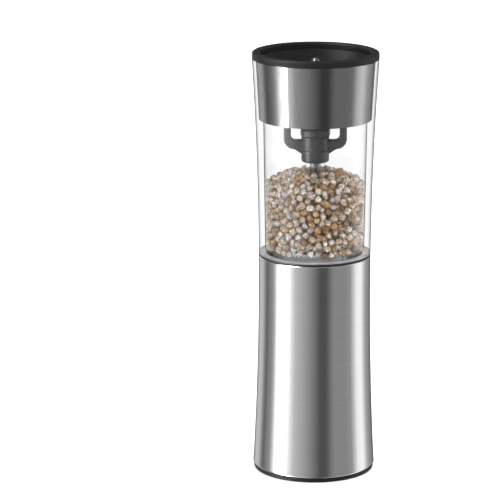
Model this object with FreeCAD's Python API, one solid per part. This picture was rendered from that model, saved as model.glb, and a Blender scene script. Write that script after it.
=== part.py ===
import FreeCAD, Part
import math
import os

# A rechargeable pepper mill that stands on its motor body with its grinding cup at the top.
# All sizes are in millimetres. Z is up, and the origin is the middle of the foot, on the table.

# Outside form: one long arc, narrow at the waist, turned about Z
waist_radius = 26.9
waist_height = 95.0
side_bend = 1667.0

# Heights of the outside, from the table up
foot_height = 1.9
body_top = 106.4
collar_height = 1.0
rim_low = 201.7
rim_height = 3.3
lift_gap = 0.05

# Fits
fit_gap = 0.05
slip_gap = 0.1
soft_gap = 0.4

# Body
foot_inset = 0.5
foot_width = 5.0
cover_low = 1.0
cover_thick = 2.4
shell_wall = 0.6
shell_roll = 1.0
hem_width = 1.7
board_height = 5.2
board_thick = 1.6
board_edge = 2.4
post_circle = 17.0
post_radius = 2.9
chassis_low = 8.2
chassis_room = 2.3
chassis_wall = 1.6
rib_thick = 1.6
joint_screw_x = 19.0
joint_screw_heights = (20.0, 84.0)

# Power and switch
battery_radius = 9.15
battery_length = 35.3
tab_thick = 0.25
tab_width = 5.0
socket_width = 8.94
socket_height = 3.2
socket_depth = 7.3
socket_wall = 0.3
light_x = 9.0
light_radius = 1.25
tilt_x = -16.0
tilt_radius = 2.6
tilt_length = 9.0
tilt_wall = 0.3
ball_radius = 2.0
lead_radius = 0.6
lead_y = -19.6
lead_x = 4.0

# Motor
motor_radius = 12.2
motor_length = 28.0
motor_wall = 0.8
cap_thick = 2.4
magnet_thick = 2.3
armature_air = 0.65
armature_length = 18.0
motor_shaft_radius = 1.15
motor_boss_radius = 3.0
motor_boss_height = 1.4
motor_screw_circle = 6.2
commutator_radius = 3.0
brush_width = 2.4

# Planet gears, two like stages
gear_module = 0.4
sun_teeth = 12
planet_teeth = 18
ring_teeth = 48
planets = 3
pressure_angle = math.radians(20)
tooth_play = 0.05
gear_width = 4.6
pin_radius = 1.2
carrier_thick = 1.6
gearbox_wall = 2.9
gearbox_floor = 2.4
gearbox_cover_thick = 2.4
stage_gap = 0.3

# Deck, coupling and shaft
deck_thick = 3.6
boss_radius = 15.6
seal_wire = 0.65
seal_depth = 1.25
key_width = 3.0
key_depth = 0.9
output_radius = 3.0
coupling_radius = 4.5
coupling_drop = 1.0
socket_reach = 7.0
shaft_radius = 2.5

# Chamber
chamber_floor = 1.3
chamber_wall = 3.4
chamber_wall_top = 4.2
lip_thick = 1.7
lip_rise = 3.0
sleeve_low = 172.5
sleeve_inset = 2.25
sleeve_wall = 0.4
pepper_gap = 0.15
pepper_top_wall = 142.5
pepper_top_peak = 149.6
pepper_peak_radius = 9.5
pepper_top_shaft = 145.8

# Head
cup_wall = 1.2
cup_floor_low = 177.6
cup_floor_thick = 2.2
burr_outer = 15.0
burr_flange = 1.8
burr_flange_thick = 1.5
burr_top = 186.2
burr_bore_low = 9.3
burr_bore_top = 12.5
burr_gap = 0.45
ring_grooves = 24
cone_flutes = 16
yoke_thick = 2.2
yoke_flange_radius = 21.0
yoke_screw_circle = 18.6
hub_radius = 6.65
hub_low = 157.7
hub_high = 164.0
hub_sleeve_length = 5.9
hub_cap_radius = 7.05
hub_cap_height = 4.1
arm_inner = 11.65
arm_outer = 15.1
arm_low = 158.0
arm_high = 162.5
arm_depth = 4.4
bush_wall = 1.6
collar_flare = 4.9
collar_length = 5.0
knob_radius = 8.0
knob_grip = 5.6
knob_neck_radius = 2.9
knob_neck_top = 197.8
tip_radius = 2.3
tip_top = 202.0
spring_wire = 0.5
spring_turns = 5
shoulder_thick = 0.6

# Screws
screw_radius = 1.0
screw_head_radius = 2.1
screw_head_thick = 1.2

# Sizes and heights worked out from those above
cover_top = cover_low + cover_thick
board_top = board_height + board_thick
collar_top = body_top + collar_height
chamber_low = collar_top + lift_gap
floor_top = chamber_low + chamber_floor
deck_top = body_top - 2.4
deck_low = deck_top - deck_thick
boss_top = floor_top + lip_rise - 0.2
key_top = floor_top - 0.6
seal_height = floor_top + 1.3
chassis_high = deck_low
gearbox_radius = gear_module * (ring_teeth / 2 + 1.2) + gearbox_wall
gearbox_top = deck_low - 2.9
cover_seat = gearbox_top - gearbox_cover_thick
gear_circle = gear_module * (sun_teeth + planet_teeth) / 2
second_plate = cover_seat - stage_gap - carrier_thick
second_low = second_plate - stage_gap - gear_width
first_plate = second_low - stage_gap - carrier_thick
first_low = first_plate - stage_gap - gear_width
gearbox_low = first_low - stage_gap - gearbox_floor
motor_low = gearbox_low - motor_length
battery_low = chassis_low + rib_thick + tab_thick + fit_gap
battery_top = battery_low + battery_length
output_top = deck_low + 2.5
coupling_low = gearbox_top + coupling_drop
coupling_top = output_top + 0.6 + socket_reach
shaft_low = output_top + 0.6
hub_sleeve_low = hub_low - hub_sleeve_length
hub_cap_top = hub_high + hub_cap_height
cup_floor_top = cup_floor_low + cup_floor_thick
burr_low = cup_floor_low - burr_flange_thick
yoke_top = burr_low - fit_gap
yoke_low = yoke_top - yoke_thick
cone_low = burr_low + 0.2
cone_top = burr_top + 0.3
spring_seat = cone_low + 5.6
shoulder_low = cone_low - 0.9
knob_low = cone_top + fit_gap
hex_flat = shaft_radius * math.cos(math.pi / 6)

origin = FreeCAD.Vector(0, 0, 0)
up = FreeCAD.Vector(0, 0, 1)
along_y = FreeCAD.Vector(0, 1, 0)


def point(x, y, z):
    return FreeCAD.Vector(x, y, z)


def side_radius(height):
    # the outside arc's radius at a height
    off = height - waist_height
    return waist_radius + side_bend - math.sqrt(side_bend ** 2 - off ** 2)


foot_radius = side_radius(foot_height) - foot_inset
chassis_radius = waist_radius - shell_wall - chassis_room
armature_radius = motor_radius - motor_wall - magnet_thick - fit_gap - armature_air
bore_radius_top = side_radius(sleeve_low) - chamber_wall_top


def rounded_wire(corners, place):
    # closed outline through the corners; a third number rounds its corner
    count = len(corners)
    stops = []
    for index, corner in enumerate(corners):
        here = place(corner[0], corner[1])
        if len(corner) == 2:
            stops.append((here, None, here))
            continue
        before = corners[index - 1]
        after = corners[(index + 1) % count]
        back = (place(before[0], before[1]) - here).normalize()
        onward = (place(after[0], after[1]) - here).normalize()
        half = back.getAngle(onward) / 2
        reach = corner[2] / math.tan(half)
        inward = (back + onward).normalize()
        middle = here + inward * (corner[2] / math.sin(half) - corner[2])
        stops.append((here + back * reach, middle, here + onward * reach))
    edges = []
    for index, (start, middle, end) in enumerate(stops):
        following = stops[(index + 1) % count][0]
        if middle is not None:
            edges.append(Part.Arc(start, middle, end).toShape())
        if end.distanceToPoint(following) > 1e-6:
            edges.append(Part.LineSegment(end, following).toShape())
    return Part.Wire(edges)


def turned(corners):
    # solid turned about Z from corners given as radius, height
    wire = rounded_wire(corners, lambda radius, height: point(radius, 0, height))
    return Part.Face(wire).revolve(origin, up, 360)


def plate(corners, low, high):
    # solid with an outline in X and Y, between two heights
    wire = rounded_wire(corners, lambda x, y: point(x, y, low))
    return Part.Face(wire).extrude(point(0, 0, high - low))


def web(corners, depth):
    # solid with an outline in X and Z, centred on Y
    wire = rounded_wire(corners, lambda x, z: point(x, -depth / 2, z))
    return Part.Face(wire).extrude(point(0, depth, 0))


def rod(radius, low, high, x=0.0, y=0.0):
    return Part.makeCylinder(radius, high - low, point(x, y, low))


def tube(outer, inner, low, high, x=0.0, y=0.0):
    return rod(outer, low, high, x, y).cut(rod(inner, low - 1, high + 1, x, y))


def cross_rod(radius, start_y, end_y, x, z):
    return Part.makeCylinder(radius, end_y - start_y, point(x, start_y, z), along_y)


def block(x_low, x_high, y_low, y_high, z_low, z_high):
    corner = point(x_low, y_low, z_low)
    return Part.makeBox(x_high - x_low, y_high - y_low, z_high - z_low, corner)


def hexagon(corner_radius, low, high):
    angles = [math.radians(60 * step) for step in range(6)]
    corners = [(corner_radius * math.cos(a), corner_radius * math.sin(a)) for a in angles]
    return plate(corners, low, high)


def side_solid(low, high, inset):
    # everything inside the outside arc, less an inset, between two heights
    middle = (low + high) / 2
    foot = point(side_radius(low) - inset, 0, low)
    bend = point(side_radius(middle) - inset, 0, middle)
    head = point(side_radius(high) - inset, 0, high)
    edges = [
        Part.LineSegment(point(0, 0, low), foot).toShape(),
        Part.Arc(foot, bend, head).toShape(),
        Part.LineSegment(head, point(0, 0, high)).toShape(),
        Part.LineSegment(point(0, 0, high), point(0, 0, low)).toShape(),
    ]
    return Part.Face(Part.Wire(edges)).revolve(origin, up, 360)


def rolled_solid(low, high, inset, roll):
    # the same, with both its rims rounded
    body = side_solid(low, high, inset)
    rims = [edge for edge in body.Edges if edge.isClosed()]
    return body.makeFillet(roll, rims)


def spun(shape, degrees):
    copy = shape.copy()
    copy.rotate(origin, up, degrees)
    return copy


def around(shape, count, start=0.0):
    return [spun(shape, start + 360.0 * step / count) for step in range(count)]


def circle_places(radius, count, start):
    angles = [math.radians(start + 360.0 * step / count) for step in range(count)]
    return [(radius * math.cos(a), radius * math.sin(a)) for a in angles]


def upright_screw(x, y, seat, tip, head_up):
    # screw along Z whose head rests at seat; head_up is 1 with the head on top, -1 below
    head_end = seat + head_up * screw_head_thick
    shank = rod(screw_radius, min(seat, tip), max(seat, tip), x, y)
    head = rod(screw_head_radius, min(seat, head_end), max(seat, head_end), x, y)
    slot_deep = head_end - head_up * screw_head_thick * 0.6
    low = min(slot_deep, head_end + head_up)
    high = max(slot_deep, head_end + head_up)
    long = screw_head_radius * 0.62
    thin = screw_head_radius * 0.14
    cross = block(x - long, x + long, y - thin, y + thin, low, high)
    cross = cross.fuse(block(x - thin, x + thin, y - long, y + long, low, high))
    return shank.fuse(head).cut(cross).removeSplitter()


# Gears

def tooth_half_angle(radius, teeth, play):
    # half the angle that a tooth fills at a radius, with play taken off each flank
    pitch = gear_module * teeth / 2
    base = pitch * math.cos(pressure_angle)
    slope = math.acos(min(1.0, base / radius))
    rolled = math.tan(pressure_angle) - pressure_angle
    unrolled = math.tan(slope) - slope
    return math.pi / (2 * teeth) + rolled - unrolled - play / pitch


def gear_solid(teeth, root, tip, play, phase, low, high):
    # toothed disc; root and tip are measured out from the pitch circle
    pitch = gear_module * teeth / 2
    flank = [pitch + root, pitch, pitch + tip]
    corners = []
    for tooth in range(teeth):
        centre = phase + 2 * math.pi * tooth / teeth
        rising = [(radius, -1) for radius in flank]
        falling = [(radius, 1) for radius in reversed(flank)]
        for radius, side in rising + falling:
            angle = centre + side * tooth_half_angle(radius, teeth, play)
            corners.append((radius * math.cos(angle), radius * math.sin(angle)))
    return plate(corners, low, high)


def outer_gear(teeth, phase, low, high):
    return gear_solid(teeth, -1.15 * gear_module, 0.9 * gear_module, tooth_play, phase, low, high)


def planet_gears(low):
    phase = math.pi / planet_teeth
    gear = outer_gear(planet_teeth, phase, low, low + gear_width)
    gear = gear.cut(rod(pin_radius + fit_gap, low - 1, low + gear_width + 1))
    gear.translate(point(gear_circle, 0, 0))
    return around(gear, planets)


def carrier_plate(plate_low):
    # plate above its planets, with a pin down through each
    disc = rod(gear_circle + pin_radius + 1.0, plate_low, plate_low + carrier_thick)
    pin = rod(pin_radius, plate_low - stage_gap - gear_width, plate_low + 0.1, gear_circle)
    for copy in around(pin, planets):
        disc = disc.fuse(copy)
    return disc


# Foot, cover and shell

def make_foot_ring():
    inner = foot_radius - foot_width
    step = foot_radius - 1.4
    return turned([
        (inner, 0), (foot_radius, 0, 0.7), (foot_radius, foot_height, 0.4),
        (step, foot_height), (step, cover_low), (inner, cover_low),
    ])


def make_bottom_cover():
    radius = foot_radius - 1.4 - slip_gap
    cover = turned([
        (0, cover_low + 0.2), (foot_radius - foot_width - 1, cover_low + 0.2),
        (foot_radius - foot_width - 1, cover_low + fit_gap), (radius, cover_low + fit_gap),
        (radius, cover_top, 0.4), (0, cover_top),
    ])
    for x, y in circle_places(post_circle, 3, 90):
        post = rod(post_radius, cover_top - 0.5, chassis_low - fit_gap, x, y)
        step = rod(post_radius + 1.2, cover_top - 0.5, board_height - fit_gap, x, y)
        cover = cover.fuse(post).fuse(step)
    for x, y in circle_places(post_circle, 3, 90):
        cover = cover.cut(rod(screw_radius + slip_gap, 0, chassis_low + 1, x, y))
        cover = cover.cut(rod(screw_head_radius + slip_gap, 0, cover_low + 1.6, x, y))
    return cover


def make_bottom_screws():
    seat = cover_low + 1.6
    places = circle_places(post_circle, 3, 90)
    return [upright_screw(x, y, seat, seat + 11.0, -1) for x, y in places]


def top_bore_radius():
    return side_radius(body_top) - hem_width


def make_steel_shell():
    # a tube whose two ends are rolled inward to a narrow hem
    low = foot_height + fit_gap
    shell = rolled_solid(low, body_top, 0, shell_roll)
    shell = shell.cut(rolled_solid(low + shell_wall, body_top - shell_wall, shell_wall,
                                   shell_roll - shell_wall))
    shell = shell.cut(rod(side_radius(low) - hem_width, low - 1, low + shell_roll))
    shell = shell.cut(rod(top_bore_radius(), body_top - shell_roll, body_top + 1))
    rear = side_radius(board_top)
    half = socket_width / 2 + slip_gap
    rise = socket_height / 2 + slip_gap
    middle = board_top + socket_height / 2
    opening = cross_rod(rise, rear - 3, rear + 3, -half + rise, middle)
    opening = opening.fuse(cross_rod(rise, rear - 3, rear + 3, half - rise, middle))
    opening = opening.fuse(block(-half + rise, half - rise, rear - 3, rear + 3,
                                 middle - rise, middle + rise))
    window = cross_rod(light_radius + fit_gap, rear - 5, rear + 3, light_x, middle)
    return shell.cut(opening).cut(window)


# Board, switch and battery

def board_radius():
    return side_radius(board_height) - shell_wall - board_edge


def make_control_board():
    board = rod(board_radius(), board_height, board_top)
    for x, y in circle_places(post_circle, 3, 90):
        board = board.cut(rod(post_radius + slip_gap, board_height - 1, board_top + 1, x, y))
    driver = block(2, 7, -16.5, -11.5, board_top, board_top + 1.1)
    charger = block(-10, -6, 18.2, 22.2, board_top, board_top + 0.9)
    return board.fuse(driver).fuse(charger).removeSplitter()


def socket_outline(width, height, start_y, end_y):
    middle = board_top + socket_height / 2
    rise = height / 2
    reach = width / 2 - rise
    shape = cross_rod(rise, start_y, end_y, -reach, middle)
    shape = shape.fuse(cross_rod(rise, start_y, end_y, reach, middle))
    shape = shape.fuse(block(-reach, reach, start_y, end_y, middle - rise, middle + rise))
    return shape.removeSplitter()


def make_charging_socket():
    front = side_radius(board_top) - shell_wall
    back = front - socket_depth
    width = socket_width - 2 * socket_wall
    height = socket_height - 2 * socket_wall
    case = socket_outline(socket_width, socket_height, back, front)
    case = case.cut(socket_outline(width, height, back + socket_wall, front + 1))
    middle = board_top + socket_height / 2
    tongue = block(-3.2, 3.2, back, front - 0.8, middle - 0.35, middle + 0.35)
    return case.fuse(tongue).removeSplitter()


def make_charge_light():
    outer = side_radius(board_top)
    middle = board_top + socket_height / 2
    pipe = cross_rod(light_radius, outer - 7.2, outer - 1.5, light_x, middle)
    foot_y = outer - 7.2
    foot = block(light_x - light_radius, light_x + light_radius, foot_y, foot_y + 2.4,
                 board_top, middle)
    return pipe.fuse(foot).removeSplitter()


def make_tilt_switch():
    top = board_top + tilt_length
    can = rod(tilt_radius, board_top, top, tilt_x)
    return can.cut(rod(tilt_radius - tilt_wall, board_top + tilt_wall, top - tilt_wall, tilt_x))


def make_tilt_ball():
    seat = board_top + tilt_wall + fit_gap
    return Part.makeSphere(ball_radius, point(tilt_x, 0, seat + ball_radius))


def make_battery_cell():
    cell = turned([
        (0, battery_low), (battery_radius, battery_low, 0.6),
        (battery_radius, battery_top - 0.6, 0.5), (0, battery_top - 0.6),
    ])
    return cell.fuse(rod(3.1, battery_top - 0.7, battery_top)).removeSplitter()


def make_battery_tabs():
    # one welded strip on each end of the cell, folded down to the board
    half = tab_width / 2
    out = battery_radius + 1.0
    low = battery_low - fit_gap - tab_thick
    lower = block(-half, half, -3.0, out, low, low + tab_thick)
    lower = lower.fuse(block(-half, half, out - tab_thick, out, board_top, low + tab_thick))
    high = battery_top + fit_gap
    upper = block(-half, half, -out, 3.0, high, high + tab_thick)
    upper = upper.fuse(block(-half, half, -out, -out + tab_thick, board_top, high + tab_thick))
    return [lower.removeSplitter(), upper.removeSplitter()]


# Chassis

def chassis_ribs():
    # height, bore radius: the ribs that hold the battery, the motor and the gearbox
    battery_rib = battery_low + battery_length * 0.6
    motor_ribs = (motor_low + 4.0, gearbox_low - 6.0)
    gearbox_rib = (gearbox_low + cover_seat) / 2
    return (
        (chassis_low, 4.0),
        (battery_rib, battery_radius + slip_gap),
        (motor_ribs[0], motor_radius + fit_gap),
        (motor_ribs[1], motor_radius + fit_gap),
        (gearbox_rib, gearbox_radius + fit_gap),
        (chassis_high - rib_thick, coupling_radius + 1.5),
    )


def make_chassis():
    inner = chassis_radius - chassis_wall
    body = tube(chassis_radius, inner, chassis_low, chassis_high)
    for low, bore in chassis_ribs():
        body = body.fuse(tube(inner + 0.1, bore, low, low + rib_thick))
    for x, y in circle_places(post_circle, 3, 90):
        body = body.fuse(rod(post_radius, chassis_low, chassis_low + 6.5, x, y))
        body = body.cut(rod(screw_radius + fit_gap, chassis_low - 1, chassis_low + 6.0, x, y))
    for x, y in circle_places(deck_screw_circle(), 3, 30):
        body = body.fuse(rod(2.6, chassis_high - 10.0, chassis_high, x, y))
        body = body.cut(rod(screw_radius + fit_gap, chassis_high - 9.0, chassis_high + 1, x, y))
    for x in (-joint_screw_x, joint_screw_x):
        wall_y = math.sqrt(chassis_radius ** 2 - joint_screw_x ** 2)
        for z in joint_screw_heights:
            boss = cross_rod(2.9, -wall_y, wall_y, x, z)
            body = body.fuse(boss.common(rod(chassis_radius, z - 5, z + 5)))
            body = body.cut(cross_rod(screw_radius + fit_gap, -wall_y, 8.0, x, z))
            body = body.cut(cross_rod(screw_head_radius + fit_gap, -2 * wall_y, -5.0, x, z))
    # ways for the strips and the leads
    half = tab_width / 2 + slip_gap
    out = battery_radius + 1.0 + slip_gap
    body = body.cut(block(-half, half, -out, out, 0, motor_low - 1))
    for x in (-lead_x, lead_x):
        body = body.cut(rod(lead_radius + slip_gap, 0, motor_low - 1, x, lead_y))
    # room for the charging socket and its light, and for the tilt switch
    half = socket_width / 2 + slip_gap
    clear = board_top + socket_height + slip_gap
    back = side_radius(board_top) - shell_wall - socket_depth - slip_gap
    body = body.cut(block(-half, half, back, chassis_radius + 1, 0, clear))
    body = body.cut(block(light_x - light_radius - slip_gap, light_x + light_radius + slip_gap,
                          back - 1, chassis_radius + 1, 0, clear))
    body = body.cut(rod(tilt_radius + slip_gap, 0, board_top + tilt_length + 1, tilt_x))
    return body.removeSplitter()


def chassis_half(body, side):
    wide = 2 * chassis_radius
    if side < 0:
        half = block(-wide, wide, -wide, 0, 0, body_top)
    else:
        half = block(-wide, wide, 0, wide, 0, body_top)
    return body.common(half)


def make_chassis_screws():
    screws = []
    for x in (-joint_screw_x, joint_screw_x):
        for z in joint_screw_heights:
            shank = cross_rod(screw_radius, -5.0, 7.0, x, z)
            head = cross_rod(screw_head_radius, -5.0 - screw_head_thick, -5.0, x, z)
            screws.append(shank.fuse(head))
    return screws


def bent_lead(places):
    # round lead along straight runs joined by tangent arcs
    bend = 1.6
    start = places[0]
    edges = []
    for index in range(1, len(places) - 1):
        corner = places[index]
        back = (places[index - 1] - corner).normalize()
        onward = (places[index + 1] - corner).normalize()
        half = back.getAngle(onward) / 2
        reach = bend / math.tan(half)
        inward = (back + onward).normalize()
        middle = corner + inward * (bend / math.sin(half) - bend)
        edges.append(Part.LineSegment(start, corner + back * reach).toShape())
        edges.append(Part.Arc(corner + back * reach, middle, corner + onward * reach).toShape())
        start = corner + onward * reach
    edges.append(Part.LineSegment(start, places[-1]).toShape())
    direction = (places[1] - places[0]).normalize()
    circle = Part.Wire([Part.makeCircle(lead_radius, places[0], direction)])
    return Part.Wire(edges).makePipeShell([circle], True, False)


def make_motor_leads():
    # up from the board, then in to the brush strips over the top of the cell
    turn = motor_low - cap_thick - 1.5
    leads = []
    for side in (-1, 1):
        leads.append(bent_lead([
            point(side * lead_x, lead_y, board_top),
            point(side * lead_x, lead_y, turn),
            point(side * brush_strip_x(), -brush_width / 2 - fit_gap, turn),
        ]))
    return leads


# Motor

def motor_top():
    return gearbox_low


def brush_strip_x():
    return motor_radius - motor_wall - 2.6


def make_motor_can():
    can = rod(motor_radius, motor_low, motor_top())
    can = can.cut(rod(motor_radius - motor_wall, motor_low - 1, motor_top() - 1.2))
    can = can.cut(rod(motor_boss_radius + fit_gap, motor_low, motor_top() + 1))
    for x, y in circle_places(motor_screw_circle, 2, 0):
        can = can.cut(rod(screw_radius + fit_gap, motor_low, motor_top() + 1, x, y))
    return can


def make_motor_end_cap():
    cap = rod(motor_radius, motor_low - cap_thick, motor_low - fit_gap)
    lip = rod(motor_radius - motor_wall - fit_gap, motor_low - cap_thick, motor_low + 0.9)
    cap = cap.fuse(lip).cut(rod(motor_boss_radius + fit_gap, 0, body_top))
    strip = brush_strip_x()
    for side in (-1, 1):
        middle = side * strip
        half = brush_width / 2 + slip_gap
        cap = cap.cut(block(middle - 0.35, middle + 0.35, -half, half, 0, body_top))
    return cap.removeSplitter()


def make_motor_brushes():
    strip = brush_strip_x()
    low = motor_low + 1.3
    brushes = []
    for side in (-1, 1):
        near = side * (commutator_radius + fit_gap)
        far = side * (strip + 0.25)
        half = brush_width / 2
        arm = block(min(near, far), max(near, far), -half, half, low, low + 1.2)
        inner = side * (strip - 0.25)
        leg_low = motor_low - cap_thick - 2.3
        leg = block(min(inner, far), max(inner, far), -half, half, leg_low, low)
        brushes.append(arm.fuse(leg).removeSplitter())
    return brushes


def make_motor_magnets():
    outer = motor_radius - motor_wall - fit_gap
    low = motor_low + 4.5
    high = motor_top() - 4.0
    ring = tube(outer, outer - magnet_thick, low, high)
    pole_gap = 5.5
    ring = ring.cut(block(-outer, outer, -pole_gap, pole_gap, low - 1, high + 1))
    return ring.Solids


def make_motor_bushes():
    bore = motor_shaft_radius + fit_gap
    low = motor_low - cap_thick
    upper_low = motor_top() - 1.2
    return [
        tube(motor_boss_radius, bore, low, low + 2.8),
        tube(motor_boss_radius, bore, upper_low, motor_top() + motor_boss_height),
    ]


def armature_low():
    return (motor_low + motor_top() - armature_length) / 2 + 0.6


def make_armature():
    low = armature_low()
    core = rod(armature_radius, low, low + armature_length)
    slot = block(armature_radius - 4.2, armature_radius + 1, -0.9, 0.9, low - 1,
                 low + armature_length + 1)
    for copy in around(slot, 5):
        core = core.cut(copy)
    return core.cut(rod(motor_shaft_radius + fit_gap, low - 1, low + armature_length + 1))


def make_windings():
    low = armature_low()
    bore = motor_shaft_radius + 0.8
    radius = armature_radius - 0.9
    under = turned([(bore, low - 2.2), (radius - 1, low - 2.2), (radius, low), (bore, low)])
    top = low + armature_length
    over = turned([(bore, top), (radius, top), (radius - 1, top + 2.2), (bore, top + 2.2)])
    return [under, over]


def make_commutator():
    low = motor_low + 1.1
    return tube(commutator_radius, motor_shaft_radius + fit_gap, low, armature_low() - 2.2)


def make_motor_shaft():
    return rod(motor_shaft_radius, motor_low - cap_thick - 0.6, first_low + gear_width)


# Gearbox

def make_sun_pinion():
    low = gearbox_low + motor_boss_height + 0.2
    gear = outer_gear(sun_teeth, 0, low, first_low + gear_width)
    return gear.cut(rod(motor_shaft_radius + fit_gap, low - 1, first_plate))


def make_gearbox_housing():
    housing = rod(gearbox_radius, gearbox_low, cover_seat - fit_gap)
    phase = math.pi / ring_teeth
    teeth = gear_solid(ring_teeth, -0.8 * gear_module, 1.2 * gear_module, -tooth_play, phase,
                       first_low - stage_gap, body_top)
    housing = housing.cut(teeth)
    # the motor's boss is a fit in the floor, and the pinion has more room above it
    boss_end = gearbox_low + motor_boss_height + slip_gap
    housing = housing.cut(rod(motor_boss_radius + fit_gap, 0, boss_end))
    housing = housing.cut(rod(gear_module * sun_teeth / 2 + 1.2, boss_end, body_top))
    for x, y in circle_places(motor_screw_circle, 2, 0):
        housing = housing.cut(rod(screw_radius + fit_gap, 0, body_top, x, y))
        seat = gearbox_low + gearbox_floor - screw_head_thick - 0.1
        housing = housing.cut(rod(screw_head_radius + fit_gap, seat, first_low, x, y))
    for x, y in circle_places(gearbox_radius - gearbox_wall / 2, 3, 90):
        housing = housing.cut(rod(0.85, cover_seat - 8.0, body_top, x, y))
    return housing


def make_motor_screws():
    seat = gearbox_low + gearbox_floor - screw_head_thick - 0.1
    places = circle_places(motor_screw_circle, 2, 0)
    return [upright_screw(x, y, seat, gearbox_low - 1.8, 1) for x, y in places]


def make_gearbox_cover():
    cover = tube(gearbox_radius, output_radius + bush_wall + fit_gap, cover_seat, gearbox_top)
    for x, y in circle_places(gearbox_radius - gearbox_wall / 2, 3, 90):
        cover = cover.cut(rod(0.95, 0, body_top, x, y))
    return cover


def make_gearbox_screws():
    screws = []
    for x, y in circle_places(gearbox_radius - gearbox_wall / 2, 3, 90):
        shank = rod(0.8, cover_seat - 6.5, gearbox_top, x, y)
        head = rod(1.35, gearbox_top, gearbox_top + 0.9, x, y)
        screws.append(shank.fuse(head))
    return screws


def make_first_carrier():
    carrier = carrier_plate(first_plate)
    sun_top = second_low + gear_width
    sun = outer_gear(sun_teeth, 0, first_plate + carrier_thick, sun_top)
    return carrier.fuse(sun).removeSplitter()


def make_output_carrier():
    carrier = carrier_plate(second_plate)
    return carrier.fuse(rod(output_radius, second_plate, output_top)).removeSplitter()


def make_output_bush():
    return tube(output_radius + bush_wall, output_radius + fit_gap, cover_seat, gearbox_top + 0.6)


# Deck and coupling

def deck_screw_circle():
    return chassis_radius - chassis_wall - 1.9


def key_block(extra):
    # the keys on the boss that stop the chamber turning; extra opens the notches in its floor
    half = key_width / 2 + extra
    outer = boss_radius + key_depth + extra
    return block(boss_radius - 1, outer, -half, half, deck_top + 1, key_top + extra)


def make_deck():
    rim = side_radius(deck_low) - shell_wall - slip_gap
    rim = min(rim, waist_radius - shell_wall - slip_gap)
    # its raised rim bears up against the shell's hem, round the collar ring
    rim_top = body_top - shell_wall - fit_gap
    rim_inner = top_bore_radius() - slip_gap + fit_gap
    deck = turned([
        (0, deck_low), (rim, deck_low), (rim, rim_top, shell_roll - shell_wall + fit_gap),
        (rim_inner, rim_top), (rim_inner, deck_top), (boss_radius, deck_top),
        (boss_radius, boss_top, 0.8), (0, boss_top),
    ])
    deck = deck.cut(rod(boss_radius - 2.0, deck_low - 1, boss_top - 2.0))
    deck = deck.fuse(tube(coupling_radius + 2.0, coupling_radius + slip_gap, deck_low,
                          boss_top - 1.9))
    for copy in around(key_block(0), 3, 90):
        deck = deck.fuse(copy)
    groove = tube(boss_radius + 2, boss_radius - seal_depth, seal_height - seal_wire - fit_gap,
                  seal_height + seal_wire + fit_gap)
    deck = deck.cut(groove)
    deck = deck.cut(rod(coupling_radius + slip_gap, 0, coupling_top + slip_gap))
    deck = deck.cut(rod(shaft_radius + 0.6, 0, body_top * 2))
    for x, y in circle_places(deck_screw_circle(), 3, 30):
        deck = deck.cut(rod(screw_radius + slip_gap, 0, deck_top + 1, x, y))
        deck = deck.cut(rod(screw_head_radius + slip_gap, deck_top - 1.4, deck_top + 1, x, y))
    return deck.removeSplitter()


def make_deck_seal():
    middle = boss_radius - seal_depth + fit_gap + seal_wire
    return Part.makeTorus(middle, seal_wire, point(0, 0, seal_height))


def make_deck_screws():
    seat = deck_top - 1.4
    places = circle_places(deck_screw_circle(), 3, 30)
    return [upright_screw(x, y, seat, chassis_high - 8.0, 1) for x, y in places]


def make_collar_ring():
    inner_face = top_bore_radius() - slip_gap
    outer = side_radius(body_top)
    return turned([
        (inner_face - 2.4, deck_top + fit_gap), (inner_face, deck_top + fit_gap),
        (inner_face, body_top + fit_gap), (outer, body_top + fit_gap, 0.2),
        (outer, collar_top, 0.3), (inner_face - 2.4, collar_top),
    ])


def make_drive_coupling():
    coupling = turned([
        (0, coupling_low), (coupling_radius, coupling_low, 0.4),
        (coupling_radius, coupling_top, 0.6), (0, coupling_top),
    ])
    coupling = coupling.cut(rod(output_radius + fit_gap, coupling_low - 1, output_top + fit_gap))
    socket_radius = shaft_radius + fit_gap * 2
    return coupling.cut(hexagon(socket_radius, output_top + 0.5, coupling_top + 1))


# Chamber

def bore_low_radius():
    return side_radius(floor_top) - chamber_wall


def make_clear_chamber():
    chamber = side_solid(chamber_low, rim_low - fit_gap, 0)
    lip_inner = boss_radius + slip_gap * 2
    hollow = turned([
        (0, floor_top), (bore_low_radius(), floor_top, 1.2), (bore_radius_top, sleeve_low),
        (bore_radius_top, sleeve_low + 0.5), (0, sleeve_low + 0.5),
    ])
    chamber = chamber.cut(hollow)
    chamber = chamber.cut(side_solid(sleeve_low, rim_low + 1, sleeve_inset - slip_gap))
    chamber = chamber.fuse(tube(lip_inner + lip_thick, lip_inner, chamber_low + 0.2,
                                floor_top + lip_rise))
    chamber = chamber.cut(rod(lip_inner, chamber_low - 1, floor_top + lip_rise + 1))
    for copy in around(key_block(slip_gap * 2), 3, 90):
        chamber = chamber.cut(copy)
    return chamber.removeSplitter()


def make_pepper_fill():
    # the peppercorns as one plain solid, heaped a little around the shaft
    outer = bore_low_radius() - pepper_gap
    lip = boss_radius + slip_gap * 2 + lip_thick + pepper_gap
    over_lip = floor_top + lip_rise + pepper_gap
    inner = shaft_radius + pepper_gap
    return turned([
        (inner, over_lip), (lip, over_lip), (lip, floor_top + pepper_gap),
        (outer, floor_top + pepper_gap, 1.0), (outer, pepper_top_wall, 2.0),
        (pepper_peak_radius, pepper_top_peak, 5.0), (inner + 2.0, pepper_top_shaft),
        (inner, pepper_top_shaft),
    ])


def make_steel_sleeve():
    low = sleeve_low + fit_gap
    high = rim_low - 2 * fit_gap
    outer = side_solid(low, high, sleeve_inset)
    return outer.cut(side_solid(low - 1, high + 1, sleeve_inset + sleeve_wall))


# Head

def cup_outer_inset():
    return sleeve_inset + sleeve_wall + slip_gap


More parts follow.
